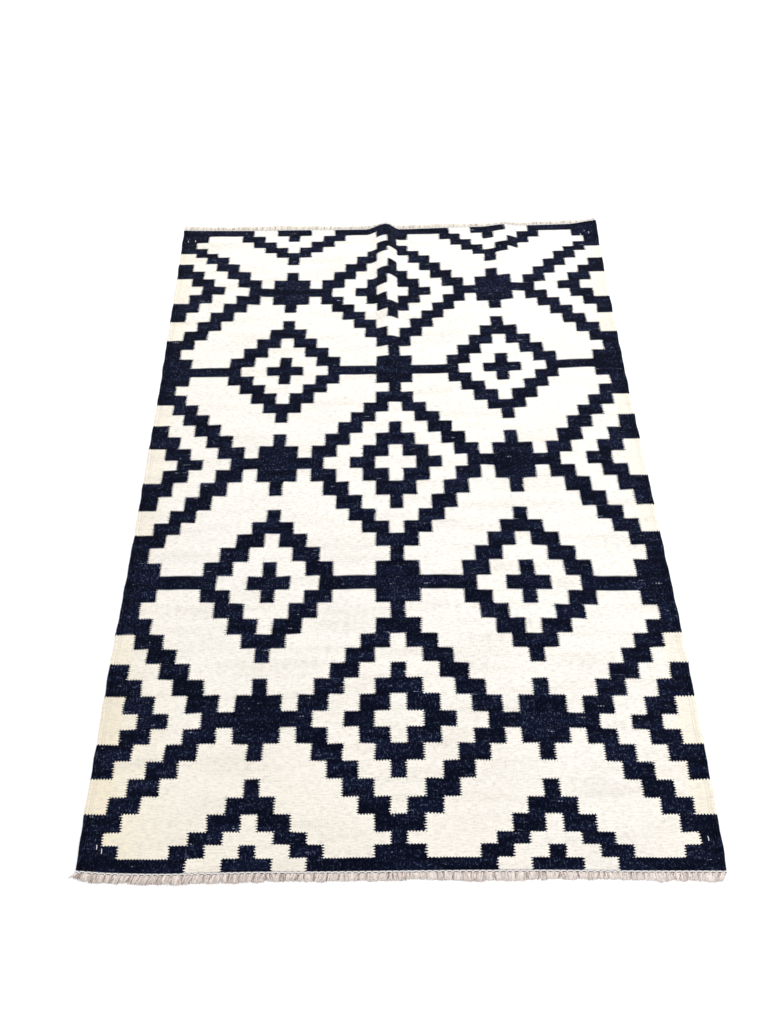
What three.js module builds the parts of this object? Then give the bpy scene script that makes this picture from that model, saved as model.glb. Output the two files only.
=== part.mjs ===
// Kilim rug, about 1.7 m by 2.4 m, lying on a floor.
//
// A kilim is one flat-woven wool cloth with no pile. Its warps run the whole length, and at each end
// they leave the cloth through one twined row and then lie on the floor as short, soft locks of fringe.
// The solids are the cloth, and for each end the twined row with its locks. Their outline wavers as a
// hand-woven rug does, and one long fold, one smaller ripple and a curled corner stand up from the floor.
//
// Frame: millimetres, +X across the rug, +Y along the warps towards the far end, +Z up. The origin is on
// the floor under the middle of the rug.

import * as THREE from 'three';

// Driving dimensions.
const nominalHalfWidth = 850;
const nominalHalfLength = 1200;
const clothThickness = 4;
const pieceGap = 0.3;
const twinedRowWidth = 5;
const twinedRowHeight = 3.6;
const locksPerEnd = 148;
const lockRootWidth = 6.4;
const lockMidWidth = 5.4;
const lockMidHeight = 3;
const lockMidShare = 0.55;
const lockLengthSpread = 2.5;
const lockLean = { least: 1.6, most: 3.6 };
const droopShortening = 0.35;
const cornerFan = { reach: 75, lean: 10 };

// Where the woven edges lie. A side edge is read at a place along the rug, an end edge at one across it.
const sideEdges = [
  { along: -1200, left: -855, right: 851 },
  { along: -1100, left: -859, right: 854 },
  { along: -900, left: -858, right: 857 },
  { along: -650, left: -859, right: 860 },
  { along: -450, left: -855, right: 859 },
  { along: -200, left: -852, right: 855 },
  { along: 100, left: -852, right: 852 },
  { along: 350, left: -850, right: 847 },
  { along: 600, left: -853, right: 846 },
  { along: 850, left: -855, right: 845 },
  { along: 1050, left: -857, right: 847 },
  { along: 1200, left: -861, right: 845 },
];
const endEdges = [
  { across: -850, near: -1193, far: 1199 },
  { across: -760, near: -1199, far: 1195 },
  { across: -620, near: -1202, far: 1191 },
  { across: -400, near: -1199, far: 1189 },
  { across: -150, near: -1199, far: 1187 },
  { across: 50, near: -1198, far: 1185 },
  { across: 250, near: -1198, far: 1189 },
  { across: 420, near: -1199, far: 1193 },
  { across: 620, near: -1202, far: 1196 },
  { across: 760, near: -1203, far: 1200 },
  { across: 850, near: -1204, far: 1203 },
];

// How long the locks of each end are, at places across the rug: the ends were never cut even.
const lockLengths = [
  { across: -850, near: 22, far: 22 },
  { across: -700, near: 20.5, far: 19 },
  { across: -450, near: 21, far: 21 },
  { across: -350, near: 20.5, far: 22 },
  { across: -200, near: 19.5, far: 17.5 },
  { across: -40, near: 19, far: 22.5 },
  { across: 120, near: 19, far: 20 },
  { across: 220, near: 21, far: 18.5 },
  { across: 350, near: 18, far: 16 },
  { across: 460, near: 16.5, far: 19 },
  { across: 560, near: 16.5, far: 16 },
  { across: 660, near: 19.5, far: 15 },
  { across: 760, near: 19.5, far: 18.5 },
  { across: 850, near: 22, far: 20 },
];

// Folds that run along the warps from the far end and die out towards the middle of the rug. Each row is
// one cross-section: how far along, where the crest is, how wide each flank is, and the crest's height.
const mainFold = [
  { along: 200, crest: -8, leftFlank: 50, rightFlank: 40, height: 0 },
  { along: 320, crest: -8, leftFlank: 50, rightFlank: 40, height: 1 },
  { along: 440, crest: -8, leftFlank: 50, rightFlank: 40, height: 4 },
  { along: 560, crest: -8, leftFlank: 52, rightFlank: 40, height: 8 },
  { along: 680, crest: -10, leftFlank: 55, rightFlank: 42, height: 15 },
  { along: 800, crest: -13, leftFlank: 60, rightFlank: 44, height: 23 },
  { along: 920, crest: -15, leftFlank: 68, rightFlank: 46, height: 29 },
  { along: 1060, crest: -17, leftFlank: 78, rightFlank: 50, height: 30 },
  { along: 1200, crest: -20, leftFlank: 86, rightFlank: 56, height: 29 },
];
const sideRipple = [
  { along: 560, crest: 466, leftFlank: 90, rightFlank: 50, height: 0 },
  { along: 700, crest: 466, leftFlank: 90, rightFlank: 50, height: 2.5 },
  { along: 850, crest: 466, leftFlank: 85, rightFlank: 48, height: 4.5 },
  { along: 960, crest: 468, leftFlank: 85, rightFlank: 46, height: 9 },
  { along: 1060, crest: 469, leftFlank: 88, rightFlank: 46, height: 14 },
  { along: 1140, crest: 469, leftFlank: 92, rightFlank: 48, height: 13 },
  { along: 1200, crest: 467, leftFlank: 96, rightFlank: 56, height: 9 },
];
const curledCorner = { across: 855, along: 1215, reach: 125, height: 15 };

// The side selvedge: the outermost warps are bundled, so a low rib and two grooves run along each side.
const selvedgeRelief = [
  { inset: 0, relief: -0.8 },
  { inset: 7, relief: 0.8 },
  { inset: 14, relief: -0.6 },
  { inset: 24, relief: 0 },
];

// Grid lines of the cloth, as zones of equal steps: close together over the folds, wide where it is flat.
const acrossZones = [
  { from: -850, to: -843, steps: 1 },
  { from: -843, to: -836, steps: 1 },
  { from: -836, to: -826, steps: 1 },
  { from: -826, to: -114, steps: 6 },
  { from: -114, to: -24, steps: 7 },
  { from: -24, to: 42, steps: 7 },
  { from: 42, to: 364, steps: 3 },
  { from: 364, to: 464, steps: 5 },
  { from: 464, to: 530, steps: 4 },
  { from: 530, to: 730, steps: 2 },
  { from: 730, to: 826, steps: 4 },
  { from: 826, to: 836, steps: 1 },
  { from: 836, to: 843, steps: 1 },
  { from: 843, to: 850, steps: 1 },
];
const alongZones = [
  { from: -1200, to: -1100, steps: 1 },
  { from: -1100, to: 320, steps: 7 },
  { from: 320, to: 1040, steps: 10 },
  { from: 1040, to: 1200, steps: 5 },
];

/** Value of a table's column at a place, on a smooth curve through its rows; constant past both ends. */
function readTable(table, placeKey, valueKey, place) {
  const last = table.length - 1;
  if (place <= table[0][placeKey]) return table[0][valueKey];
  if (place >= table[last][placeKey]) return table[last][valueKey];
  let i = 0;
  while (place > table[i + 1][placeKey]) i += 1;
  const rows = [i - 1, i, i + 1, i + 2].map((n) => table[Math.min(Math.max(n, 0), last)]);
  const [p0, p1, p2, p3] = rows.map((row) => row[placeKey]);
  const [v0, v1, v2, v3] = rows.map((row) => row[valueKey]);
  const step = p2 - p1;
  const slopeIn = ((v2 - v0) / (p2 - p0)) * step;
  const slopeOut = ((v3 - v1) / (p3 - p1)) * step;
  const t = (place - p1) / step;
  const t2 = t * t;
  const t3 = t2 * t;
  return (2 * t3 - 3 * t2 + 1) * v1 + (t3 - 2 * t2 + t) * slopeIn
    + (3 * t2 - 2 * t3) * v2 + (t3 - t2) * slopeOut;
}

/** 1 at 0, falling on an S-curve to 0 at 1 and beyond. */
function fallOff(t) {
  const u = Math.min(Math.abs(t), 1);
  return 1 - u * u * (3 - 2 * u);
}

/** How far a fold lifts the cloth off the floor at a place. */
function foldHeight(fold, x, along) {
  const read = (key) => readTable(fold, 'along', key, along);
  const fromCrest = x - read('crest');
  const flank = fromCrest < 0 ? read('leftFlank') : read('rightFlank');
  return Math.max(read('height'), 0) * fallOff(fromCrest / flank);
}

/** Height of the cloth's underside over the floor. */
function liftAt(x, along) {
  const toCorner = Math.hypot(curledCorner.across - x, curledCorner.along - along) / curledCorner.reach;
  return foldHeight(mainFold, x, along) + foldHeight(sideRipple, x, along)
    + curledCorner.height * fallOff(toCorner);
}

/** The places where grid lines run, from a table of zones. */
function gridLines(zones) {
  const lines = [zones[0].from];
  for (const { from, to, steps } of zones) {
    for (let i = 1; i <= steps; i += 1) lines.push(from + ((to - from) * i) / steps);
  }
  return lines;
}

const acrossLines = gridLines(acrossZones);
const alongLines = gridLines(alongZones);

/** Where an end edge lies at a place across the rug, on straight chords between the grid lines. */
function endEdge(end, across) {
  const next = acrossLines.findIndex((line) => line > across);
  const upper = next > 0 ? next : acrossLines.length - 1;
  const [from, to] = [acrossLines[upper - 1], acrossLines[upper]];
  const [start, stop] = [from, to].map((line) => readTable(endEdges, 'across', end, line));
  return start + ((stop - start) * (across - from)) / (to - from);
}

/** A point of the underside, from nominal places across and along the rug. */
function undersidePoint(across, along) {
  const share = (across + nominalHalfWidth) / (2 * nominalHalfWidth);
  const left = readTable(sideEdges, 'along', 'left', along);
  const right = readTable(sideEdges, 'along', 'right', along);
  const x = left + (right - left) * share;
  const lengthShare = (along + nominalHalfLength) / (2 * nominalHalfLength);
  const y = endEdge('near', across) * (1 - lengthShare) + endEdge('far', across) * lengthShare;
  return new THREE.Vector3(x, y, liftAt(x, along));
}

/** A point `height` above the underside, square to the cloth's slope across the folds. */
function raisedPoint(across, along, height) {
  const base = undersidePoint(across, along);
  const probe = 1;
  const slope = (liftAt(base.x + probe, along) - liftAt(base.x - probe, along)) / (2 * probe);
  const stretch = Math.hypot(1, slope);
  const atSide = Math.abs(across) === nominalHalfWidth;
  const sideways = atSide ? 0 : (-slope / stretch) * height;
  return base.add(new THREE.Vector3(sideways, 0, height / stretch));
}

/** Collects points and outward faces, and turns them into a geometry. */
class Surface {
  constructor() {
    this.positions = [];
    this.faces = [];
  }

  point(p) {
    this.positions.push(p.x, p.y, p.z);
    return this.positions.length / 3 - 1;
  }

  triangle(a, b, c) {
    this.faces.push(a, b, c);
  }

  quad(a, b, c, d) {
    this.faces.push(a, b, c, a, c, d);
  }

  turnInsideOut() {
    this.faces.reverse();
  }

  geometry() {
    const result = new THREE.BufferGeometry();
    result.setAttribute('position', new THREE.Float32BufferAttribute(this.positions, 3));
    result.setIndex(this.faces);
    result.computeVertexNormals();
    return result;
  }
}

/** The woven cloth: one sheet of even thickness over the grid, closed round its rim. */
function wovenCloth() {
  const surface = new Surface();
  const under = alongLines.map((along) => acrossLines.map((across) => (
    surface.point(undersidePoint(across, along)))));
  const upper = alongLines.map((along) => acrossLines.map((across) => {
    const inset = nominalHalfWidth - Math.abs(across);
    const relief = readTable(selvedgeRelief, 'inset', 'relief', inset);
    return surface.point(raisedPoint(across, along, clothThickness + relief));
  }));
  const lastAcross = acrossLines.length - 1;
  const lastAlong = alongLines.length - 1;
  for (let j = 0; j < lastAlong; j += 1) {
    for (let i = 0; i < lastAcross; i += 1) {
      surface.quad(upper[j][i], upper[j][i + 1], upper[j + 1][i + 1], upper[j + 1][i]);
      surface.quad(under[j][i], under[j + 1][i], under[j + 1][i + 1], under[j][i + 1]);
    }
    surface.quad(under[j][0], upper[j][0], upper[j + 1][0], under[j + 1][0]);
    surface.quad(under[j][lastAcross], under[j + 1][lastAcross], upper[j + 1][lastAcross],
      upper[j][lastAcross]);
  }
  for (let i = 0; i < lastAcross; i += 1) {
    surface.quad(under[0][i], under[0][i + 1], upper[0][i + 1], upper[0][i]);
    surface.quad(under[lastAlong][i], upper[lastAlong][i], upper[lastAlong][i + 1],
      under[lastAlong][i + 1]);
  }
  return surface.geometry();
}

/** Repeatable random numbers from 0 to 1, from a linear congruential generator. */
function seededRandom(seed) {
  const multiplier = 1664525;
  const increment = 1013904223;
  const range = 2 ** 32;
  let state = seed;
  return () => {
    state = (Math.imul(state, multiplier) + increment) >>> 0;
    return state / range;
  };
}

/**
 * One end finish: the twined row, a narrow strip just outside the cloth's edge, with a three-sided lock
 * growing out of its outer face at every post. Neighbouring locks lean together in pairs, and rest level
 * on the floor; where a fold lifts the edge they droop from it.
 */
function fringedEnd({ end, outwards, seed }) {
  const random = seededRandom(seed);
  const along = outwards * nominalHalfLength;
  const surface = new Surface();
  const pitch = (2 * nominalHalfWidth) / locksPerEnd;

  const placed = (across, outwardReach, height) => {
    const p = raisedPoint(across, along, height);
    return p.add(new THREE.Vector3(0, outwards * outwardReach, 0));
  };
  const innerReach = pieceGap;
  const outerReach = pieceGap + twinedRowWidth;

  const post = (across, halfRoot) => ({
    across,
    innerLow: surface.point(placed(across, innerReach, 0)),
    innerHigh: surface.point(placed(across, innerReach, twinedRowHeight)),
    peak: surface.point(placed(across, outerReach, twinedRowHeight)),
    rootLeft: surface.point(placed(across - halfRoot, outerReach, 0)),
    rootRight: halfRoot > 0 ? surface.point(placed(across + halfRoot, outerReach, 0)) : null,
  });

  const posts = [post(-nominalHalfWidth, 0)];
  for (let i = 0; i < locksPerEnd; i += 1) {
    posts.push(post(-nominalHalfWidth + (i + 0.5) * pitch, lockRootWidth / 2));
  }
  posts.push(post(nominalHalfWidth, 0));

  posts.forEach((right, n) => {
    const left = posts[n - 1];
    if (!left) return;
    const leftRoot = left.rootRight ?? left.rootLeft;
    surface.quad(left.innerHigh, left.peak, right.peak, right.innerHigh);
    surface.quad(left.innerLow, left.innerHigh, right.innerHigh, right.innerLow);
    surface.quad(left.innerLow, right.innerLow, right.rootLeft, leftRoot);
    surface.quad(leftRoot, right.rootLeft, right.peak, left.peak);
  });
  const [first, lastPost] = [posts[0], posts[posts.length - 1]];
  surface.quad(first.innerLow, first.rootLeft, first.peak, first.innerHigh);
  surface.quad(lastPost.innerLow, lastPost.innerHigh, lastPost.peak, lastPost.rootLeft);

  posts.slice(1, -1).forEach((root, n) => {
    const base = placed(root.across, outerReach, 0);
    const usualLength = readTable(lockLengths, 'across', end, root.across);
    const droop = Math.min(base.z / usualLength, 1);
    const length = usualLength + (random() - 0.5) * 2 * lockLengthSpread;
    const leanSize = lockLean.least + (lockLean.most - lockLean.least) * random();
    const pairLean = (n % 2 === 0 ? leanSize : -leanSize) * (1 - droop);
    const fanShare = Math.max(0, 1 - (root.across + nominalHalfWidth) / cornerFan.reach);
    const lean = pairLean - fanShare * cornerFan.lean;
    const halfMid = lockMidWidth / 2;
    const lockPoint = (share, sideways, height) => surface.point(new THREE.Vector3(
      base.x + lean * share + sideways,
      base.y + outwards * length * share * (1 - droopShortening * droop * share),
      Math.max(base.z - droop * length * share * share, 0) + height,
    ));
    const midLeft = lockPoint(lockMidShare, -halfMid, 0);
    const midRight = lockPoint(lockMidShare, halfMid, 0);
    const midPeak = lockPoint(lockMidShare, 0, lockMidHeight);
    const tip = lockPoint(1, 0, 0);
    surface.triangle(root.innerLow, root.rootRight, root.rootLeft);
    surface.quad(root.rootLeft, root.rootRight, midRight, midLeft);
    surface.quad(root.rootRight, root.peak, midPeak, midRight);
    surface.quad(root.peak, root.rootLeft, midLeft, midPeak);
    surface.triangle(midLeft, midRight, tip);
    surface.triangle(midRight, midPeak, tip);
    surface.triangle(midPeak, midLeft, tip);
  });
  if (outwards > 0) surface.turnInsideOut();
  return surface.geometry();
}

/** A named mesh in matt wool. */
function woolPiece(name, geometry, color) {
  const material = new THREE.MeshStandardMaterial({ color, roughness: 0.95, metalness: 0 });
  const mesh = new THREE.Mesh(geometry, material);
  mesh.name = name;
  return mesh;
}

const creamWool = 0xf0e9da;
const greigeWool = 0xbdb0a0;

const rug = new THREE.Group();
rug.add(woolPiece('woven_cloth', wovenCloth(), creamWool));
rug.add(woolPiece('near_fringe', fringedEnd({ end: 'near', outwards: -1, seed: 11 }), greigeWool));
rug.add(woolPiece('far_fringe', fringedEnd({ end: 'far', outwards: 1, seed: 29 }), greigeWool));

export default rug;
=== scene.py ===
# %% [markdown]
# # A kilim rug
# A kilim is a flat-woven wool cloth with no pile. Its wefts cover the warps completely, so a pattern is made
# by changing the colour of the weft, and every edge in it is a step. At both ends the warps leave the cloth
# through one twined row and lie on the floor as a short fringe. The rug could be one flat card with a
# pattern on it, but then its ripples, its edges and its fringe would be missing from every low view. So the
# cloth is a closed sheet, the twined rows are real yarns, and the fringe is thousands of loose plies.

import bpy
import numpy as np
from mathutils import Matrix, Vector


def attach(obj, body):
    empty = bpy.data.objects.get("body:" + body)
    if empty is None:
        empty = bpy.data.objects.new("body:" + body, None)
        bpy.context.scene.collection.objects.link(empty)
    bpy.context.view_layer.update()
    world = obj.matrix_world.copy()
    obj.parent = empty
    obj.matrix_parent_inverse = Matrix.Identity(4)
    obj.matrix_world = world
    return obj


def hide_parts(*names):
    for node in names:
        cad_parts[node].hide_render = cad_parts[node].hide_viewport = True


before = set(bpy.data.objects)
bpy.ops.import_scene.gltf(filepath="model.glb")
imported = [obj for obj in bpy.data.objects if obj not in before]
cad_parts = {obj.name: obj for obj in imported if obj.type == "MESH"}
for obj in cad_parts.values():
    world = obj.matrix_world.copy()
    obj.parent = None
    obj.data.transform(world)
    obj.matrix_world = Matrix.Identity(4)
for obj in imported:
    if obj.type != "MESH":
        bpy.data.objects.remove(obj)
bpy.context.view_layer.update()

# %% [markdown]
# ## Where the cloth lies
# A hand-woven rug is never a true rectangle. Its sides draw in where the weaver pulled the weft tight, and
# its ends bow. These tables say where the four edges run, in metres, with a row for each place that was
# judged. They could be one list of outline points, but two tables let any point of the cloth be found by
# its share of the width and of the length.

# %% Edges of the cloth


def named_columns(names, *rows):
    """Turns rows of numbers into one array for each named column."""
    return dict(zip(names.split(), np.array(rows, dtype=float).T))


half_width = 0.850
half_length = 1.200
cloth_thickness = 0.004

side_edges = named_columns(
    "along left right",
    (-1.200, -0.855, 0.851),
    (-1.100, -0.859, 0.854),
    (-0.900, -0.858, 0.857),
    (-0.650, -0.859, 0.860),
    (-0.450, -0.855, 0.859),
    (-0.200, -0.852, 0.855),
    (0.100, -0.852, 0.852),
    (0.350, -0.850, 0.847),
    (0.600, -0.853, 0.846),
    (0.850, -0.855, 0.845),
    (1.050, -0.857, 0.847),
    (1.200, -0.861, 0.845),
)
end_edges = named_columns(
    "across near far",
    (-0.850, -1.193, 1.199),
    (-0.760, -1.199, 1.195),
    (-0.620, -1.202, 1.191),
    (-0.400, -1.199, 1.189),
    (-0.150, -1.199, 1.187),
    (0.050, -1.198, 1.185),
    (0.250, -1.198, 1.189),
    (0.420, -1.199, 1.193),
    (0.620, -1.202, 1.196),
    (0.760, -1.203, 1.200),
    (0.850, -1.204, 1.203),
)

# %% Folds of the cloth
# Each row is one cross-section of a fold: where its crest is, how wide its flanks are and how high it is.
# A fold that is drawn as a straight roll would look stiff, so each has rows where it changes.
main_fold = named_columns(
    "along crest left_flank right_flank height",
    (0.200, -0.008, 0.050, 0.040, 0.000),
    (0.320, -0.008, 0.050, 0.040, 0.001),
    (0.440, -0.008, 0.050, 0.040, 0.004),
    (0.560, -0.008, 0.052, 0.040, 0.008),
    (0.680, -0.010, 0.055, 0.042, 0.015),
    (0.800, -0.013, 0.060, 0.044, 0.023),
    (0.920, -0.015, 0.068, 0.046, 0.029),
    (1.060, -0.017, 0.078, 0.050, 0.030),
    (1.200, -0.020, 0.086, 0.056, 0.029),
)
side_ripple = named_columns(
    "along crest left_flank right_flank height",
    (0.560, 0.466, 0.090, 0.050, 0.0000),
    (0.700, 0.466, 0.090, 0.050, 0.0025),
    (0.850, 0.466, 0.085, 0.048, 0.0045),
    (0.960, 0.468, 0.085, 0.046, 0.0090),
    (1.060, 0.469, 0.088, 0.046, 0.0140),
    (1.140, 0.469, 0.092, 0.048, 0.0130),
    (1.200, 0.467, 0.096, 0.056, 0.0090),
)
slight_swell = named_columns(
    "along crest left_flank right_flank height",
    (0.480, 0.092, 0.045, 0.060, 0.0000),
    (0.600, 0.092, 0.045, 0.060, 0.0025),
    (0.720, 0.090, 0.045, 0.060, 0.0030),
    (0.860, 0.088, 0.045, 0.060, 0.0000),
)
curled_corner = {"across": 0.855, "along": 1.215, "reach": 0.125, "height": 0.015}
soft_waves = {"height": 0.0007, "across": 0.31, "along": 0.43}
# The small bumps of the side edges are two waves, added: how far each reaches, and how long each is.
edge_bumps = {"reach": 0.0008, "long_wave": 0.127, "short_wave": 0.073}
turn = 2 * np.pi
print("highest fold:", main_fold["height"].max(), "m")

# %% [markdown]
# ## The cloth as a surface
# Between the judged places the edges and folds run smoothly, because wool cloth doesn't kink. A subdivision
# surface could smooth a coarse mesh, but its edge would no longer pass through the judged places. A curve
# that passes through each row keeps them, and it is quick to work out for whole arrays at once.

# %% A smooth curve through a table


def read(table, place_name, value_name, at):
    """Between two rows, a cubic whose slope at each row is the slope from the row before to the row after.
    Past both ends it stays constant."""
    places, values = table[place_name], table[value_name]
    last = len(places) - 1
    at = np.clip(at, places[0], places[-1])
    i = np.clip(np.searchsorted(places, at) - 1, 0, last - 1)
    before = np.maximum(i - 1, 0)
    after = np.minimum(i + 2, last)
    step = places[i + 1] - places[i]
    slope_in = (values[i + 1] - values[before]) / (places[i + 1] - places[before]) * step
    slope_out = (values[after] - values[i]) / (places[after] - places[i]) * step
    t = (at - places[i]) / step
    start = (2 * t**3 - 3 * t**2 + 1) * values[i] + (t**3 - 2 * t**2 + t) * slope_in
    stop = (3 * t**2 - 2 * t**3) * values[i + 1] + (t**3 - t**2) * slope_out
    return start + stop


def fall_off(t):
    """1 at 0, falling on an S-curve to 0 at 1 and beyond: 1 - t squared times (3 - 2 t)."""
    u = np.minimum(np.abs(t), 1)
    return 1 - u * u * (3 - 2 * u)


# %% Height over the floor


def fold_height(fold, x, along):
    """The crest's height times the fall-off over the flank on which the point lies."""
    from_crest = x - read(fold, "along", "crest", along)
    left, right = (read(fold, "along", name, along) for name in ("left_flank", "right_flank"))
    flank = np.where(from_crest < 0, left, right)
    return np.maximum(read(fold, "along", "height", along), 0) * fall_off(from_crest / flank)


def lift(x, along):
    """The folds, the curled corner and two crossing low waves, added up."""
    to_corner = np.hypot(curled_corner["across"] - x, curled_corner["along"] - along)
    corner = curled_corner["height"] * fall_off(to_corner / curled_corner["reach"])
    crossing = np.sin(turn * x / soft_waves["across"]) * np.sin(turn * along / soft_waves["along"])
    waves = soft_waves["height"] * (1 + crossing) / 2
    folds = sum(fold_height(fold, x, along) for fold in (main_fold, side_ripple, slight_swell))
    return folds + corner + waves


# %% Points of the sheet


def underside(across, along):
    """Sideways by its share between the two side edges, each of which has two small waves added, lengthways
    by its share between the two end edges, and up by the lift there."""
    width_share = (across + half_width) / (2 * half_width)
    length_share = (along + half_length) / (2 * half_length)
    left, right = (read(side_edges, "along", side, along) for side in ("left", "right"))
    near, far = (read(end_edges, "across", end, across) for end in ("near", "far"))
    long_turn = turn * along / edge_bumps["long_wave"]
    short_turn = turn * along / edge_bumps["short_wave"]
    left = left + edge_bumps["reach"] * (np.sin(long_turn) + np.cos(short_turn))
    right = right + edge_bumps["reach"] * (np.cos(long_turn) + np.sin(short_turn))
    x = left + (right - left) * width_share
    y = near + (far - near) * length_share
    return np.stack([x, y, lift(x, along)], axis=-1)


def raised(across, along, height):
    """A point at a height over the underside, measured square to the cloth's slope across the folds."""
    base = underside(across, along)
    probe = 0.001
    slope = (lift(base[..., 0] + probe, along) - lift(base[..., 0] - probe, along)) / (2 * probe)
    stretch = np.hypot(1, slope)
    upward = np.stack([-slope / stretch, np.zeros_like(slope), 1 / stretch], axis=-1)
    return base + upward * np.asarray(height)[..., None]


# %% [markdown]
# ## The sheet's own relief
# Seen in section the cloth is about 4 mm thick, with round edges. Along each side the outermost warps are
# bundled, which leaves two low ribs, each with a groove on its inner side: the selvedge. The relief could be
# a bump in the material, but the ribs make the outline of the side, so they are in the points.

# %% Selvedge and rounded rim
selvedge = named_columns(
    "inset top bottom",
    (0.000, -0.0016, 0.0013),
    (0.001, -0.0006, 0.0006),
    (0.003, 0.0004, 0.0001),
    (0.007, 0.0009, 0.0000),
    (0.011, 0.0003, 0.0000),
    (0.013, -0.0009, 0.0003),
    (0.015, 0.0002, 0.0000),
    (0.018, 0.0002, 0.0000),
    (0.020, -0.0006, 0.0002),
    (0.022, 0.0000, 0.0000),
)
end_rounding = named_columns(
    "inset top bottom",
    (0.000, -0.0012, 0.0010),
    (0.001, -0.0004, 0.0003),
    (0.003, 0.0000, 0.0000),
)


def grid_lines(*zones):
    """Places of grid lines: equal steps from each zone's start to its end."""
    parts = [np.linspace(start, stop, steps, endpoint=False) for start, stop, steps in zones]
    return np.append(np.concatenate(parts), zones[-1][1])


# Each zone: where it starts and stops, and its number of steps. They are finest at folds and selvedges.
across_lines = grid_lines(
    (-0.850, -0.826, 24),
    (-0.826, -0.130, 40),
    (-0.130, 0.060, 54),
    (0.060, 0.360, 18),
    (0.360, 0.540, 32),
    (0.540, 0.826, 20),
    (0.826, 0.850, 24),
)
along_lines = grid_lines(
    (-1.200, -1.196, 4),
    (-1.196, 0.300, 84),
    (0.300, 1.196, 96),
    (1.196, 1.200, 4),
)
across_grid, along_grid = np.meshgrid(across_lines, along_lines)
side_inset = half_width - np.abs(across_grid)
end_inset = half_length - np.abs(along_grid)


def relief(face):
    """The side's relief and the end's rounding at every grid point, added up."""
    return read(selvedge, "inset", face, side_inset) + read(end_rounding, "inset", face, end_inset)


upper = raised(across_grid, along_grid, cloth_thickness + relief("top"))
lower = raised(across_grid, along_grid, relief("bottom"))
print("grid of the cloth:", across_grid.shape)

# %% [markdown]
# ## The pattern's chart
# A weaver works from a chart: so many steps across, so many rows along. This rug's chart is a traditional
# lattice of stepped diamonds, and it repeats every 18 steps both ways. On the real cloth the steps are not
# all equal, because some rows were beaten down harder. So each point of the cloth is given its place on
# the chart, in steps and rows, and the material later reads that place and nothing else. An image of the
# pattern would be simpler, but its edges would blur up close.

# %% Rows of the chart
# Where a row of the chart starts, measured along the left side, the middle and the right side.
first_row = -9
last_row = 45
row_starts = named_columns(
    "row left middle right",
    (-9, -1.199, -1.199, -1.202),
    (-8, -1.168, -1.168, -1.173),
    (-7, -1.135, -1.135, -1.141),
    (-6, -1.104, -1.105, -1.113),
    (-5, -1.057, -1.060, -1.068),
    (-4, -1.013, -1.016, -1.025),
    (-3, -0.966, -0.969, -0.979),
    (-1, -0.873, -0.874, -0.884),
    (1, -0.789, -0.784, -0.803),
    (2, -0.738, -0.735, -0.750),
    (4, -0.640, -0.641, -0.650),
    (6, -0.550, -0.552, -0.560),
    (8, -0.444, -0.452, -0.472),
    (9, -0.404, -0.409, -0.424),
    (10, -0.356, -0.361, -0.374),
    (11, -0.313, -0.311, -0.316),
    (12, -0.259, -0.260, -0.267),
    (13, -0.212, -0.212, -0.219),
    (15, -0.123, -0.124, -0.122),
    (17, -0.017, -0.017, -0.007),
    (18, 0.035, 0.034, 0.039),
    (19, 0.073, 0.079, 0.091),
    (20, 0.120, 0.127, 0.137),
    (22, 0.218, 0.225, 0.242),
    (24, 0.306, 0.307, 0.329),
    (25, 0.351, 0.354, 0.376),
    (26, 0.390, 0.393, 0.415),
    (28, 0.473, 0.474, 0.491),
    (30, 0.561, 0.563, 0.579),
    (31, 0.605, 0.608, 0.622),
    (33, 0.698, 0.697, 0.715),
    (36, 0.839, 0.817, 0.842),
    (38, 0.922, 0.906, 0.928),
    (40, 1.003, 0.991, 1.005),
    (41, 1.040, 1.033, 1.048),
    (42, 1.061, 1.058, 1.071),
    (44, 1.122, 1.121, 1.129),
    (46, 1.195, 1.187, 1.203),
)
# Across the rug: where the rows pass from the left side's places to the middle's, and on to the right's.
drift = {"left_from": -0.74, "left_to": -0.40, "right_from": 0.20, "right_to": 0.74}
# How much farther the rows lie just right of the middle diamonds, where the weaver beat them unevenly.
uneven_rows = named_columns(
    "row shift",
    (-3, 0.0000),
    (-1, -0.0035),
    (3, -0.0060),
    (5, -0.0020),
    (8, -0.0050),
    (12, 0.0000),
    (15, 0.0035),
    (19, 0.0065),
    (22, 0.0020),
    (26, 0.0025),
    (30, 0.0040),
    (33, 0.0070),
    (37, 0.0035),
    (40, 0.0025),
    (42, 0.0000),
)
uneven_place = {"across": 0.27, "reach": 0.17}


def climb(x, start, stop):
    """0 up to the start, rising on an S-curve to 1 at the stop and beyond."""
    return 1 - fall_off(np.clip((x - start) / (stop - start), 0, 1))


def chart_row(x, y):
    """The first row's number, plus for every row the share of its width that lies nearer than the point."""
    to_left = 1 - climb(x, drift["left_from"], drift["left_to"])
    to_right = climb(x, drift["right_from"], drift["right_to"])
    rows = np.arange(first_row, last_row + 2)
    left, middle, right = (read(row_starts, "row", name, rows) for name in ("left", "middle", "right"))
    shifts = read(uneven_rows, "row", "shift", rows)
    uneven = fall_off((x - uneven_place["across"]) / uneven_place["reach"])
    starts = [
        in_middle + to_left * (at_left - in_middle) + to_right * (at_right - in_middle) + uneven * shift
        for at_left, in_middle, at_right, shift in zip(left, middle, right, shifts)
    ]
    shares = [np.clip((y - near) / (far - near), 0, 1) for near, far in zip(starts, starts[1:])]
    return first_row + sum(shares)


# %% Columns of the chart
left_column = -18.90
right_column = 18.65
# How much more the cloth's length counts at the main fold, and how far to both sides of it, in metres.
crowding = named_columns("along amount", (0.30, 0.0), (0.85, 0.10), (1.20, 0.125))
crowding_reach = 0.090
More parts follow.
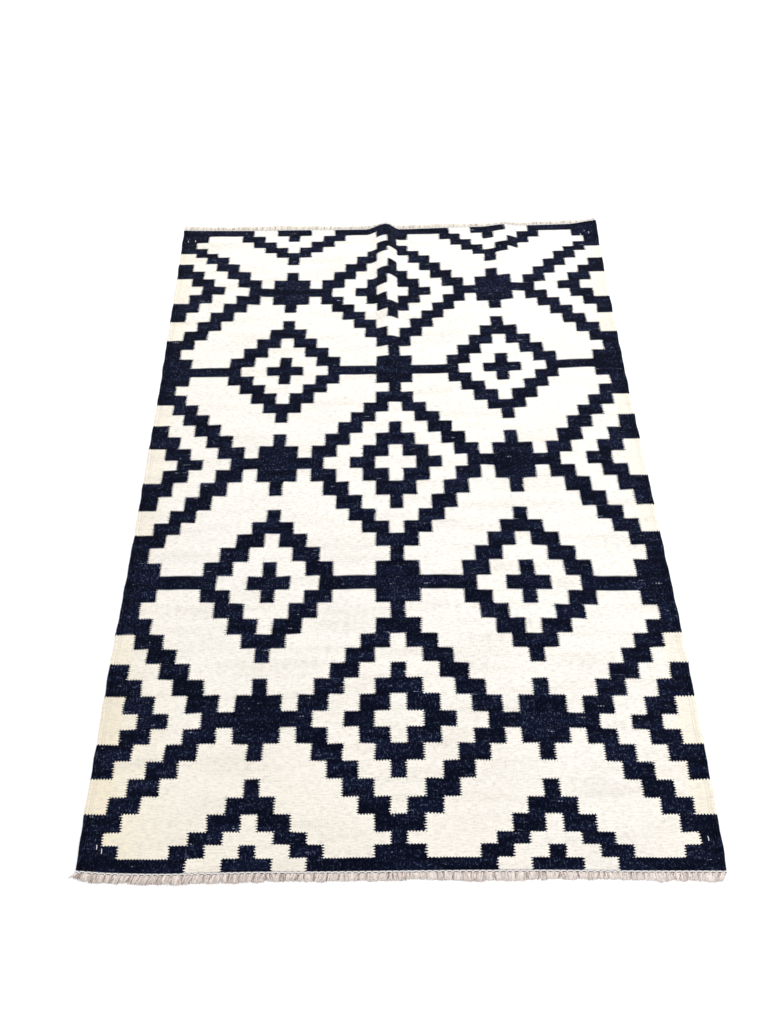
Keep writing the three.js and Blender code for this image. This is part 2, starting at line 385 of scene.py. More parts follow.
# How far a column stands to the right of its even place, in metres, at five places along the rug, and how
# far it bulges to the right a little past the middle.
column_drift = named_columns(
    "column near low_middle middle high_middle far bulge",
    (-19, -0.002, -0.002, -0.002, -0.003, 0.000, 0.0000),
    (-17, -0.003, -0.003, -0.003, -0.004, -0.001, 0.0015),
    (-14, -0.005, -0.005, -0.002, -0.003, -0.003, 0.0055),
    (-11, 0.001, 0.000, 0.003, 0.002, 0.001, 0.0040),
    (-8, -0.001, 0.002, 0.005, 0.009, 0.003, -0.0005),
    (-5, -0.001, 0.000, 0.004, 0.005, 0.006, 0.0000),
    (-2, -0.003, -0.004, 0.000, 0.001, -0.001, 0.0005),
    (1, -0.004, -0.001, 0.001, 0.004, 0.006, 0.0015),
    (2, 0.004, 0.003, -0.001, 0.006, 0.012, -0.0005),
    (3, 0.005, 0.000, 0.000, 0.006, 0.009, -0.0010),
    (5, 0.005, -0.004, -0.006, 0.002, 0.003, -0.0045),
    (8, 0.003, -0.006, -0.009, -0.006, -0.006, -0.0025),
    (11, 0.003, -0.001, -0.005, 0.001, 0.000, -0.0015),
    (14, -0.001, -0.003, -0.009, -0.004, -0.003, -0.0020),
    (17, -0.005, -0.007, -0.010, -0.007, -0.010, -0.0020),
    (19, -0.003, -0.003, -0.004, -0.004, -0.006, 0.0000),
)
drift_places = {
    "near": -1.00,
    "low_middle": -0.30,
    "middle": 0.30,
    "past_middle": 0.53,
    "high_middle": 0.80,
    "far": 1.10,
}
# A little past the middle, a column stands between where it does at the middle and at the high middle, by a
# share of the way, plus its bulge, to the nearest millimetre.
past_middle_share = 0.38
millimetre_decimals = 3
middle_part = (1 - past_middle_share) * column_drift["middle"]
high_middle_part = past_middle_share * column_drift["high_middle"]
past_middle = middle_part + high_middle_part + column_drift["bulge"]
column_drift["past_middle"] = np.round(past_middle, millimetre_decimals)
column_width = 0.0454


def chart_column(points, along):
    """The cloth's own length from its left edge, over its whole length, spread over the chart's columns,
    less the column's drift there. The length counts for more beside the main fold, where the weft was eased
    in and the steps are narrower."""
    steps = np.diff(points, axis=1)
    middles = (points[:, 1:, 0] + points[:, :-1, 0]) / 2
    eased = read(crowding, "along", "amount", along[:, 1:]) * np.exp(-((middles / crowding_reach) ** 2))
    lengths = np.hypot(steps[..., 0], steps[..., 2]) * (1 + eased)
    so_far = np.concatenate([np.zeros((len(lengths), 1)), np.cumsum(lengths, axis=1)], axis=1)
    even = left_column + (right_column - left_column) * so_far / so_far[:, -1:]
    places = list(drift_places.values())
    total = sum(
        read(column_drift, "column", name, even) * np.interp(along, places, only_here)
        for name, only_here in zip(drift_places, np.eye(len(places)))
    )
    return even - total / column_width


cloth_base = underside(across_grid, along_grid)
chart = np.stack(
    [
        chart_column(cloth_base, along_grid),
        chart_row(cloth_base[..., 0], cloth_base[..., 1]),
        side_inset,
    ],
    axis=-1,
)
print("steps across the rug:", np.ptp(chart[..., 0]), "rows along it:", np.ptp(chart[..., 1]))

# %% [markdown]
# ## The woven cloth
# The sheet is a flattened tube: its upper face from left to right and its lower face back again make one
# closed loop, repeated along the rug, and both ends are closed with a strip of faces. A plane with Solidify
# would give the same, but not a rim of its own roundness.

# %% Meshes from points and quads


def make_piece(name, points, quads, attributes=None):
    """A smooth-shaded object from points and quads, with its attributes given point by point."""
    mesh = bpy.data.meshes.new(name)
    mesh.from_pydata(points.reshape(-1, 3).tolist(), [], quads.reshape(-1, 4).tolist())
    for label, values in (attributes or {}).items():
        kind, field = ("FLOAT", "value") if values.ndim == 1 else ("FLOAT_VECTOR", "vector")
        layer = mesh.attributes.new(label, kind, "POINT")
        layer.data.foreach_set(field, np.ascontiguousarray(values, dtype=np.float32).ravel())
    mesh.shade_smooth()
    piece = bpy.data.objects.new(name, mesh)
    bpy.context.scene.collection.objects.link(piece)
    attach(piece, "root")
    print(name, "has", 2 * len(mesh.polygons), "triangles")
    return piece


def loop_quads(numbers):
    """Quads between neighbouring loops of points: numbers has a row for each loop, and each loop closes."""
    closed = np.concatenate([numbers, numbers[..., :1]], axis=-1)
    corners = [closed[..., :-1, :-1], closed[..., :-1, 1:], closed[..., 1:, 1:], closed[..., 1:, :-1]]
    return np.stack(corners, axis=-1).reshape(-1, 4)


# %% Cloth mesh
loop_points = np.concatenate([upper, lower[:, ::-1]], axis=1)
loop_chart = np.concatenate([chart, chart[:, ::-1]], axis=1)
numbers = np.arange(loop_points.shape[0] * loop_points.shape[1]).reshape(loop_points.shape[:2])
top_numbers = numbers[:, : len(across_lines)]
bottom_numbers = numbers[:, len(across_lines) :][:, ::-1]


def end_strip(row, outwards):
    """Quads between the top and bottom line of one end of the sheet."""
    top, bottom = top_numbers[row], bottom_numbers[row]
    strip = np.stack([bottom[:-1], bottom[1:], top[1:], top[:-1]], axis=-1)
    return strip[:, ::-outwards]


cloth_quads = np.concatenate([loop_quads(numbers), end_strip(0, -1), end_strip(-1, 1)])
cloth = make_piece("kilim_cloth", loop_points, cloth_quads, {"chart": loop_chart.reshape(-1, 3)})
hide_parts("woven_cloth")

# %% [markdown]
# ## Colours and nodes
# Colours are written as a screen shows them, and one function turns them into the linear light that the
# renderer works in. Materials are built one node at a time.

# %% Colour and one node


def linear(hex_colour):
    """A channel c, from 0 to 1, becomes c / 12.92 up to 0.04045, and ((c + 0.055) / 1.055) ^ 2.4 above."""
    channels = [int(hex_colour[i : i + 2], 16) / 255 for i in (1, 3, 5)]
    return tuple(c / 12.92 if c <= 0.04045 else ((c + 0.055) / 1.055) ** 2.4 for c in channels) + (1.0,)


def add(tree, kind, inputs=None, out=0, **settings):
    """Adds a node, sets it, fills or links its inputs by name or number, and gives one of its outputs."""
    made = tree.nodes.new(kind)
    for name, value in settings.items():
        setattr(made, name, value)
    for key, value in (inputs or {}).items():
        if isinstance(value, bpy.types.NodeSocket):
            tree.links.new(value, made.inputs[key])
        else:
            made.inputs[key].default_value = value
    return made.outputs[out] if made.outputs else None


def empty_material(name):
    """A material with no nodes yet."""
    material = bpy.data.materials.new(name)
    material.use_nodes = True
    material.node_tree.nodes.clear()
    return material


# %% [markdown]
# ## The wool of the cloth
# The wefts are hand-spun wool, one natural cream and one dyed blue-black, beaten down so hard that they
# cover the warps. Matt wool scatters light in all directions and has a faint sheen from its loose fibres.
# Up close, three things show that it is woven. Ribs run along the warps. Where two colours meet sideways,
# the wefts turn back in turn, which leaves a comb of small teeth. Where they meet lengthways, the edge
# zigzags over and under the warps. A picture of the weave would blur up close. So all three are worked out
# from the chart, and they follow the cloth.

# %% Places on the cloth
# The numbered inputs of a Math node are its numbers, in order. Those of a Map Range node are a value, the
# two ends of the range in which it is read, and what each of them becomes.
warps_per_step = 11

wool = empty_material("kilim_wool")
tree = wool.node_tree
place = add(tree, "ShaderNodeTexCoord", out="Object")
on_chart = add(tree, "ShaderNodeAttribute", out="Vector", attribute_name="chart")
split_place = add(tree, "ShaderNodeSeparateXYZ", {0: place}).node
split_chart = add(tree, "ShaderNodeSeparateXYZ", {0: on_chart}).node
across_place, along_place = (split_place.outputs[axis] for axis in "XY")
column, row, inset = (split_chart.outputs[axis] for axis in "XYZ")
warp_count = add(tree, "ShaderNodeMath", {0: column, 1: float(warps_per_step)}, operation="MULTIPLY")
print("warps across the rug:", round(warps_per_step * (right_column - left_column)))

# %% Combs along the sideways edges
# A real comb has a tooth for every turn of the weft, too fine to show, so its teeth are drawn coarser. The
# pitch and the two lengths are in metres. The comb's middle is a share of a tooth, and so is the stagger, by
# which the combs of neighbouring columns are shifted. Reach, raggedness and wandering are shares of a step.
tooth_pitch = 0.0068
tooth_reach = 0.090
comb_middle = 0.25
comb_stagger = 0.37
uneven_teeth_length = 0.006
raggedness = 0.16
wander_length = 0.070
column_wandering = 0.08
noise_middle = 0.5

wander_inputs = {"Vector": place, "Scale": 1 / wander_length, "Detail": 2.0}
wandering = add(tree, "ShaderNodeTexNoise", wander_inputs, out="Color")
split_wandering = add(tree, "ShaderNodeSeparateXYZ", {0: wandering}).node
column_noise, row_noise = (split_wandering.outputs[axis] for axis in "XY")
cell_number = add(tree, "ShaderNodeMath", {0: column}, operation="FLOOR")
comb_shift = add(tree, "ShaderNodeMath", {0: cell_number, 1: comb_stagger}, operation="MULTIPLY")
tooth_count = add(
    tree, "ShaderNodeMath", {0: along_place, 1: 1 / tooth_pitch, 2: comb_shift}, operation="MULTIPLY_ADD"
)
comb = add(tree, "ShaderNodeMath", {0: tooth_count, 1: 2 * comb_middle}, operation="PINGPONG")
combed = add(tree, "ShaderNodeMath", {0: comb, 1: comb_middle}, operation="SUBTRACT")
comb_noise = add(
    tree, "ShaderNodeTexNoise", {"Vector": place, "Scale": 1 / uneven_teeth_length, "Detail": 1.0}
)
comb_gain = tooth_reach / (comb_middle * noise_middle)
comb_size = add(tree, "ShaderNodeMath", {0: comb_noise, 1: comb_gain}, operation="MULTIPLY")
toothed = add(tree, "ShaderNodeMath", {0: combed, 1: comb_size, 2: column}, operation="MULTIPLY_ADD")
wandered = add(
    tree, "ShaderNodeMath", {0: column_noise, 1: column_wandering, 2: toothed}, operation="MULTIPLY_ADD"
)
ragged = add(tree, "ShaderNodeMath", {0: comb_noise, 1: raggedness, 2: wandered}, operation="MULTIPLY_ADD")
column_excess = (column_wandering + raggedness) * noise_middle
edge_column = add(tree, "ShaderNodeMath", {0: ragged, 1: column_excess}, operation="SUBTRACT")

# %% Zigzags along the lengthways edges
# Reach and wandering are shares of a row.
zigzag_reach = 0.036
zigzag_flank = {1: 0.25, 2: 0.75}
row_wandering = 0.15

two_warps = add(tree, "ShaderNodeMath", {0: warp_count, 1: 1.0}, operation="PINGPONG")
zigzag = add(tree, "ShaderNodeMapRange", {0: two_warps, **zigzag_flank})
zigzagged = add(tree, "ShaderNodeMath", {0: zigzag, 1: 2 * zigzag_reach, 2: row}, operation="MULTIPLY_ADD")
row_wandered = add(
    tree, "ShaderNodeMath", {0: row_noise, 1: row_wandering, 2: zigzagged}, operation="MULTIPLY_ADD"
)
row_excess = row_wandering * noise_middle + zigzag_reach
edge_row = add(tree, "ShaderNodeMath", {0: row_wandered, 1: row_excess}, operation="SUBTRACT")
print("nodes for the edges of the steps:", len(tree.nodes))

# %% [markdown]
# ## Which yarn a step has
# The chart is the same to the left and right of each diamond's middle, and nearer and farther than it. So a
# step is known by how many steps it is from the nearest middle, across and along: both run from 0 to 9 and
# back. Their sum is the same all along a stepped line, so bands of sums make nested diamonds. Four small
# blocks are added to them: the square between two diamonds, its two points, the crossing and the bar. A
# list of every dark step would be another way, but it would be long and hide how simple the pattern is.

# %% Steps from the nearest diamond
half_repeat = 9
last_column = 18

whole_column = add(tree, "ShaderNodeMath", {0: edge_column}, operation="ROUND")
kept_column = add(tree, "ShaderNodeClamp", {0: whole_column, 1: -last_column, 2: last_column})
whole_row = add(tree, "ShaderNodeMath", {0: edge_row}, operation="FLOOR")
kept_row = add(tree, "ShaderNodeClamp", {0: whole_row, 1: first_row, 2: last_row})
steps_across = add(tree, "ShaderNodeMath", {0: kept_column, 1: float(half_repeat)}, operation="PINGPONG")
steps_along = add(tree, "ShaderNodeMath", {0: kept_row, 1: float(half_repeat)}, operation="PINGPONG")
diagonal = add(tree, "ShaderNodeMath", {0: steps_across, 1: steps_along}, operation="ADD")

# %% Bands of nested diamonds
# Each band starts at a sum of steps and is dark or not. Half a step is added to a sum, so that it falls in
# the middle of its own stretch of the ramp.
dark_bands = [(0, False), (2, True), (4, False), (6, True), (8, False), (13, True), (15, False), (17, True)]
sums = 2 * half_repeat + 1.0
half = 0.5

band_share = add(tree, "ShaderNodeMath", {0: diagonal, 1: half}, operation="ADD")
band_place = add(tree, "ShaderNodeMath", {0: band_share, 1: sums}, operation="DIVIDE")
dark = add(tree, "ShaderNodeValToRGB", {0: band_place})
bands = dark.node.color_ramp
bands.interpolation = "CONSTANT"
for _ in dark_bands[len(bands.elements) :]:
    bands.elements.new(half)
for element, (start, is_dark) in zip(bands.elements, dark_bands):
    element.position = start / sums
    element.color = (float(is_dark),) * 3 + (1.0,)

# %% Blocks between the diamonds
dark_blocks = [
    {"across": (8, 9), "along": (0, 1)},
    {"across": (9, 9), "along": (2, 2)},
    {"across": (0, 1), "along": (8, 9)},
    {"across": (0, 5), "along": (9, 9)},
]
block_margin = 0.25


def within(steps, span):
    """1 where the number of steps lies in a span of whole numbers, ends included."""
    middle, reach = (span[0] + span[1]) / 2, (span[1] - span[0]) / 2 + block_margin
    return add(tree, "ShaderNodeMath", {0: steps, 1: middle, 2: reach}, operation="COMPARE")


for block in dark_blocks:
    across_part = within(steps_across, block["across"])
    along_part = within(steps_along, block["along"])
    inside = add(tree, "ShaderNodeMath", {0: across_part, 1: along_part}, operation="MULTIPLY")
    dark = add(tree, "ShaderNodeMath", {0: dark, 1: inside}, operation="MAXIMUM")
print("dark bands:", sum(is_dark for _, is_dark in dark_bands), "dark blocks:", len(dark_blocks))

# %% [markdown]
# ## Uneven yarn
# Hand-spun yarn changes along its length. In the cream, greyer and yellower wefts lie as faint streaks
# across the rug. The outer blocks are yellowed along both sides. Towards the left and the near end the cream
# is drawn yellower still, most of all near the left: painted shade, where less light falls. In the
# blue-black, the dye took unevenly, in bands along the wefts. Paler fibres catch the light as short flecks,
# more of them where the dye is weak, and here and there a pale thread shows on every second warp, as a row
# of dots. Scattered marks could be painted by hand, but noise that is stretched across the rug or along it
# gives the same for the whole cloth.

# %% Streaks and flecks
# For each kind: the size of its spots across, along and up, in metres, how fine their noise is, the noise at
# which they begin and are full, and how much of their colour shows there. Real flecks and streaks are one
# yarn wide, about a millimetre, so they are drawn three or four times as wide.
uneven_yarn = {
    "weft streak": {"size": (0.018, 0.004, 0.004), "detail": 3, "begin": 0.43, "full": 0.74, "most": 0.65},
    "warp streak": {"size": (0.004, 0.014, 0.004), "detail": 2, "begin": 0.50, "full": 0.78, "most": 0.40},
    "broad streak": {"size": (0.330, 0.045, 0.045), "detail": 2, "begin": 0.45, "full": 0.75, "most": 0.30},
    "rib fleck": {"size": (0.0037, 0.009, 0.0037), "detail": 2, "begin": 0.59, "full": 0.77, "most": 0.85},
    "flat fleck": {"size": (0.011, 0.0037, 0.0037), "detail": 2, "begin": 0.61, "full": 0.79, "most": 0.85},
    "pale thread": {"size": (0.038, 0.0053, 0.0053), "detail": 1, "begin": 0.73, "full": 0.80, "most": 1.0},
    "weak dye": {"size": (0.140, 0.022, 0.022), "detail": 2, "begin": 0.42, "full": 0.68, "most": 0.8},
}


def spots_of_yarn(size, detail, begin, full, most):
    """A noise stretched to a size, and the share at which it shows: 0 up to its beginning, rising evenly."""
    stretched = add(tree, "ShaderNodeMapping", {"Vector": place, "Scale": [1 / length for length in size]})
    noise = add(tree, "ShaderNodeTexNoise", {"Vector": stretched, "Scale": 1.0, "Detail": detail})
    share = add(tree, "ShaderNodeMapRange", {0: noise, 1: begin, 2: full, 3: 0.0, 4: most})
    return noise, share


noises, spots = {}, {}
for kind, choices in uneven_yarn.items():
    noises[kind], spots[kind] = spots_of_yarn(**choices)
print("kinds of uneven yarn:", len(spots))

# %% Where the cream is yellowed, partly as painted shade
# Each run reads one place in metres, and its share changes evenly from the first place to the second.
# The runs across the rug and along it make the yellow stronger towards the left and the near end. That part
# is painted shade. The run by the inset and the side share are the wool's own yellowing along both sides.
yellow_and_shade_runs = [
    {0: inset, 1: 0.06, 2: 0.22, 3: 1.0, 4: 0.5},
    {0: across_place, 1: -0.75, 2: 0.55, 3: 1.2, 4: 0.40},
    {0: along_place, 1: -1.2, 2: -0.4, 3: 0.85, 4: 0.14},
]
yellow_side = {0: inset, 1: 0.045, 2: 0.080, 3: 0.36, 4: 0.0}

yellow_and_shaded_corner = 1.0
for run in yellow_and_shade_runs:
    share = add(tree, "ShaderNodeMapRange", run)
    yellow_and_shaded_corner = add(tree, "ShaderNodeMath", {0: share, 1: yellow_and_shaded_corner}, operation="MULTIPLY")
side_share = add(tree, "ShaderNodeMapRange", yellow_side)
yellowing_and_painted_shade = add(tree, "ShaderNodeMath", {0: yellow_and_shaded_corner, 1: side_share}, operation="ADD")

# %% Painted shade in the grooves of the selvedge
# The colour is darkened along the two grooves of the selvedge. This is painted shade, laid over the shade of
# the real grooves.
selvedge_grooves = (0.013, 0.020)
groove_reach = 0.0022
groove_darkness = 0.8

groove_shade = 0.0
for groove in selvedge_grooves:
    offset = add(tree, "ShaderNodeMath", {0: inset, 1: groove}, operation="SUBTRACT")
    away = add(tree, "ShaderNodeMath", {0: offset}, operation="ABSOLUTE")
    shade = add(tree, "ShaderNodeMapRange", {0: away, 1: 0.0, 2: groove_reach, 3: groove_darkness, 4: 0.0})
    groove_shade = add(tree, "ShaderNodeMath", {0: shade, 1: groove_shade}, operation="MAXIMUM")

# %% Colours laid over each other
# A Mix node takes its share at input 0 and its colours at 6 and 7, and gives the mixed colour at output 2.
colour_mix = {"out": 2, "data_type": "RGBA"}


def layered(tree, colour, layers):
    """A colour with others over it, each in turn: (1 - share) of what lies below plus share of its own."""
    for share, upper_colour in layers:
        colour = add(tree, "ShaderNodeMix", {0: share, 6: colour, 7: upper_colour}, **colour_mix)
    return colour


# %% Undyed cream wool
# Sheep's wool is a warm white. It looks soft, because its streaks are a little duller than the rest.
cream_clean = linear("#F0EDE9")
# This yellow serves both the yellowed sides and the painted shade towards the near left.
cream_yellowed_and_shaded = linear("#EFE4CC")
cream_streak = linear("#D0CABE")

fine_streaks = add(
    tree, "ShaderNodeMath", {0: spots["weft streak"], 1: spots["warp streak"]}, operation="ADD"
)
streaks = add(
    tree, "ShaderNodeMath", {0: fine_streaks, 1: spots["broad streak"]}, operation="ADD", use_clamp=True
)
# Over the grooves of the selvedge, the duller streak colour is laid as painted shade.
streaks_and_groove_shade = add(tree, "ShaderNodeMath", {0: streaks, 1: groove_shade}, operation="MAXIMUM")
cream = layered(tree, cream_clean, [(yellowing_and_painted_shade, cream_yellowed_and_shaded), (streaks_and_groove_shade, cream_streak)])

# %% Blue-black dyed wool
# So much dye leaves wool nearly black. Only its flecks and weaker bands tell the eye that it is blue.
blue_black = linear("#040717")
weak_dye = linear("#0D132A")
blue_fleck = linear("#56617C")
# The near black in the grooves is painted shade, not dye.
painted_groove_shade_black = linear("#020308")
pale_fleck = linear("#A9AFBE")
fleck_patches = {1: 0.36, 2: 0.60, 3: 0.3, 4: 1.0}

any_fleck = add(tree, "ShaderNodeMath", {0: spots["rib fleck"], 1: spots["flat fleck"]}, operation="MAXIMUM")
patch = add(tree, "ShaderNodeMapRange", {0: noises["weak dye"], **fleck_patches})
fleck = add(tree, "ShaderNodeMath", {0: any_fleck, 1: patch}, operation="MULTIPLY")
dots = add(tree, "ShaderNodeMath", {0: spots["pale thread"], 1: zigzag}, operation="MULTIPLY")
dye_layers = [
    (spots["weak dye"], weak_dye),
    (fleck, blue_fleck),
    (groove_shade, painted_groove_shade_black),
    (dots, pale_fleck),
]
navy = layered(tree, blue_black, dye_layers)
cloth_colour = layered(tree, cream, [(dark, navy)])

# %% Ribs of the warps and wefts over them
# Real wefts are under a millimetre apart, too fine to show, so they are drawn twice as coarse.
weft_pitch = 0.0019
weft_height = 0.5
uneven_height = 3.0
weave_bump = {"Strength": 0.6, "Distance": 0.0004}

rib_turn = add(tree, "ShaderNodeMath", {0: warp_count, 1: turn}, operation="MULTIPLY")
rib = add(tree, "ShaderNodeMath", {0: rib_turn}, operation="COSINE")
warp_number = add(tree, "ShaderNodeMath", {0: warp_count, 1: half}, operation="ADD")
whole_warp = add(tree, "ShaderNodeMath", {0: warp_number}, operation="FLOOR")
over_under = add(tree, "ShaderNodeMath", {0: whole_warp, 1: np.pi}, operation="MULTIPLY")
weft_turn = add(
    tree, "ShaderNodeMath", {0: along_place, 1: turn / weft_pitch, 2: over_under}, operation="MULTIPLY_ADD"
)
weft = add(tree, "ShaderNodeMath", {0: weft_turn}, operation="SINE")
woven = add(tree, "ShaderNodeMath", {0: weft, 1: weft_height, 2: rib}, operation="MULTIPLY_ADD")
uneven_weave = {0: noises["weft streak"], 1: uneven_height, 2: woven}
weave_height = add(tree, "ShaderNodeMath", uneven_weave, operation="MULTIPLY_ADD")
woven_normal = add(tree, "ShaderNodeBump", {"Height": weave_height, **weave_bump})

# %% Surface of the cloth
# Wool has no highlight that the eye could pick out, and its loose fibres give it a thin, even sheen.
wool_surface = {"Roughness": 0.95, "Specular IOR Level": 0.02, "Sheen Weight": 0.04, "Sheen Roughness": 0.50}


def finish_surface(tree, colour, normal):
    """Gives a material's nodes the matt, faintly fuzzy surface of wool, in its own colour and relief."""
    inputs = {"Base Color": colour, "Normal": normal, **wool_surface}
    surface = add(tree, "ShaderNodeBsdfPrincipled", inputs)
    add(tree, "ShaderNodeOutputMaterial", {"Surface": surface})


finish_surface(tree, cloth_colour, woven_normal)
cloth.data.materials.append(wool)
print("nodes of the cloth's wool:", len(tree.nodes))

# %% [markdown]
# ## Yarns as tubes
# Every loose yarn on the rug is a tube along a path. Curve objects with a bevel would do for a few, but
# there are thousands here, so all the tubes of one piece are worked out at once as arrays.

# %% Tubes along many paths


def tubes(paths, radii, sides):
    """Points and quads of closed tubes. Round each path point lie `sides` points, at centre + radius times
    (cos a times sideways + sin a times upwards), where both directions are square to the path."""
    ahead = np.gradient(paths, axis=1)
    ahead /= np.linalg.norm(ahead, axis=-1, keepdims=True)
    sideways = np.cross(ahead, (0.0, 0.0, 1.0))
    sideways /= np.linalg.norm(sideways, axis=-1, keepdims=True)
    upwards = np.cross(sideways, ahead)
    angles = turn * (np.arange(sides) + 0.5) / sides
    cosines, sines = np.cos(angles)[:, None], np.sin(angles)[:, None]
    rings = paths[:, :, None] + radii[:, :, None, None] * (
        cosines * sideways[:, :, None] + sines * upwards[:, :, None]
    )
    numbers = np.arange(rings.size // 3).reshape(rings.shape[:3])
    walls = loop_quads(numbers)[:, ::-1]
    fan = [(0, corner, corner + 1, corner + 2) for corner in range(1, sides - 1, 2)]
    starts = np.concatenate([numbers[:, 0, list(corners)] for corners in fan])
    stops = np.concatenate([numbers[:, -1, list(corners)] for corners in fan])[:, ::-1]
    return rings.reshape(-1, 3), np.concatenate([walls, starts, stops])


def joined(parts):
    """Several (points, quads) pairs as one, with the later quads counting on from the earlier points."""
    counts = np.cumsum([0] + [len(points) for points, _ in parts[:-1]])
    points = np.concatenate([points for points, _ in parts])
    quads = np.concatenate([quads + count for (_, quads), count in zip(parts, counts)])
    return points, quads


# %% [markdown]
# ## The twined rows
# After the last weft the weaver twines two yarns across the warps, one pale and one dark, crossing after
# every few warps. From above the pale yarn shows as a fine line along the cloth, and the dark one as short
# dashes outside it. A painted line would look right from far away only. Here both yarns run as tubes, and
# where they cross, the pale one steps outwards over the dark one.

# %% Paths of the twined yarns
# In metres: how far outside the cloth a yarn runs and how high, what a crossing adds to each, and how thick
# it is. At the far end the dark yarn has slipped down and lies level, just off the floor.
pale_yarn = {"reach": 0.0021, "step_out": 0.0021, "height": 0.0028, "step_up": 0.0005, "radius": 0.0016}
dark_yarn = {"reach": 0.0048, "step_out": -0.0026, "height": 0.0021, "step_up": -0.0008, "radius": 0.0011}
far_dark_yarn = {**dark_yarn, "height": 0.0011, "step_up": 0.0}
crossing_pitch = 0.0175
crossing_sharpness = 4
points_per_crossing = 12
yarn_sides = 8
yarn_start = half_width - 0.001


def end_point(across, outwards, reach, height):
    """A point outside an end of the cloth: the cloth's own point there, moved outwards by the reach."""
    along = np.full_like(across, outwards * half_length)
    point = raised(across, along, height)
    point[..., 1] += outwards * reach
    return point


def twined_path(yarn, outwards):
    """Along the end, with a step sideways and up or down at each crossing: ((1 + cos of the turn) / 2) to a
    power, which is 1 at the crossing and near 0 between."""
    steps = int(2 * yarn_start / crossing_pitch * points_per_crossing)
    across = np.linspace(-yarn_start, yarn_start, steps)
    crossing = ((1 + np.cos(turn * across / crossing_pitch)) / 2) ** crossing_sharpness
    reach = yarn["reach"] + yarn["step_out"] * crossing
    height = yarn["height"] + yarn["step_up"] * crossing
    return end_point(across, outwards, reach, height)[None]


def yarn_along_end(name, yarn, outwards):
    """One twined yarn as a piece of its own."""
    path = twined_path(yarn, outwards)
    radii = np.full(path.shape[:2], yarn["radius"])
    points, quads = tubes(path, radii, sides=yarn_sides)
    piece = make_piece(name, points, quads)
    return piece


# %% [markdown]
# ## The wool of the yarns
# The warps are undyed wool in two sheep's colours, greyish and cream, so no two ends of the fringe are
# quite alike. The pale twining yarn is bleached, and the dark one is blue-black, rubbed grey in places. Each
# could have one colour, but the fringe would then look like a solid band. So each strand has a tone of its
# own, as an attribute, and a noise varies it along the strand.

# %% Yarn materials
grain_share = 0.9
fibre_bump = {"Strength": 0.5, "Distance": 0.0003}


def yarn_material(name, shade, tint, grain):
    """Wool between two colours, by each strand's own tone plus a noise of a given grain, in metres, less the
    noise's middle. The noise also gives a fuzzy relief."""
    material = empty_material(name)
    tree = material.node_tree
    place = add(tree, "ShaderNodeTexCoord", out="Object")
    tone_with_painted_light_and_shade = add(tree, "ShaderNodeAttribute", out="Fac", attribute_name="tone_with_painted_light_and_shade")
    noise = add(tree, "ShaderNodeTexNoise", {"Vector": place, "Scale": 1 / grain, "Detail": 3.0})
    mixed_tone = add(tree, "ShaderNodeMath", {0: noise, 1: grain_share, 2: tone_with_painted_light_and_shade}, operation="MULTIPLY_ADD")
    excess = grain_share * noise_middle
    share = add(tree, "ShaderNodeMath", {0: mixed_tone, 1: excess}, operation="SUBTRACT", use_clamp=True)
    colour = layered(tree, linear(shade), [(share, linear(tint))])
    normal = add(tree, "ShaderNodeBump", {"Height": noise, **fibre_bump})
    finish_surface(tree, colour, normal)
    return material


# The two undyed wools are matt and mottled from strand to strand. Bleached wool is cooler and brighter than
# the cloth, so it stands out as a line, and the coarse grain of the dark yarn breaks it up into dashes. The
# twined yarns and the stitches have no tone of their own, which counts as 0, so only the noise varies them.
warp_wool = yarn_material("undyed_warp_wool", "#98867C", "#EFE5DF", grain=0.004)
far_warp_wool = yarn_material("undyed_far_warp_wool", "#948876", "#EDE7DB", grain=0.004)
pale_wool = yarn_material("bleached_twining_wool", "#E2DEDD", "#F6F4F5", grain=0.003)
dark_wool = yarn_material("dark_twining_wool", "#15131F", "#84808C", grain=0.020)

# %% Both twined rows
for end, outwards, end_dark_yarn in (("near", -1, dark_yarn), ("far", 1, far_dark_yarn)):
    for shade_name, yarn, material in (("pale", pale_yarn, pale_wool), ("dark", end_dark_yarn, dark_wool)):
        piece = yarn_along_end(f"{end}_{shade_name}_twining", yarn, outwards)
        piece.data.materials.append(material)

# %% [markdown]
# ## The fringe
# Each warp ends in about 20 mm of loose yarn whose plies have opened. Neighbours cling together in small
# tufts that lean one way or the other, and at the left corner of the near end they fan outwards. Particle
# hair would give such a fringe quickly, but it isn't a mesh. So every warp gets six plies, each a
# tapered tube, and finer fibres stand off them.

# %% Sizes of the plies
warps_per_end = 414
plies_per_warp = 6
ply_steps = 6
ply_sides = 4
ply_radius = {"root": 0.0010, "middle": 0.0012, "tip": 0.0008}
ply_thickness = (0.8, 1.2)
fringe_start = 0.0050
side_gap = 0.002
root_spread = 0.0015
root_height = 0.0016
arch_height = 0.0018
lowest_height = 0.0007
most_stacked = 0.0012
# How long the ends are, at places across the rug: they were never cut even.
fringe_lengths = named_columns(
    "across near far",
    (-0.850, 0.0215, 0.0225),
    (-0.700, 0.0200, 0.0200),
    (-0.540, 0.0228, 0.0230),
    (-0.350, 0.0200, 0.0235),
    (-0.200, 0.0185, 0.0170),
    (-0.040, 0.0182, 0.0225),
    (0.120, 0.0185, 0.0225),
    (0.220, 0.0225, 0.0215),
    (0.350, 0.0185, 0.0170),
    (0.460, 0.0170, 0.0180),
    (0.560, 0.0172, 0.0165),
    (0.660, 0.0202, 0.0165),
    (0.760, 0.0192, 0.0185),
    (0.850, 0.0215, 0.0205),
)
tuft_length = (0.88, 1.12)
ply_length = (0.90, 1.03)
droop_shortening = 0.35

# %% How the plies lean
# The first number of a tuft's size is the fewest warps in it, and the second is one more than the most.
tuft_size = (2, 8)
tuft_pull = 0.12
tuft_lean = 0.0024
ply_lean = 0.0034
sideways_curl = 0.0009
tip_curl = 0.0022
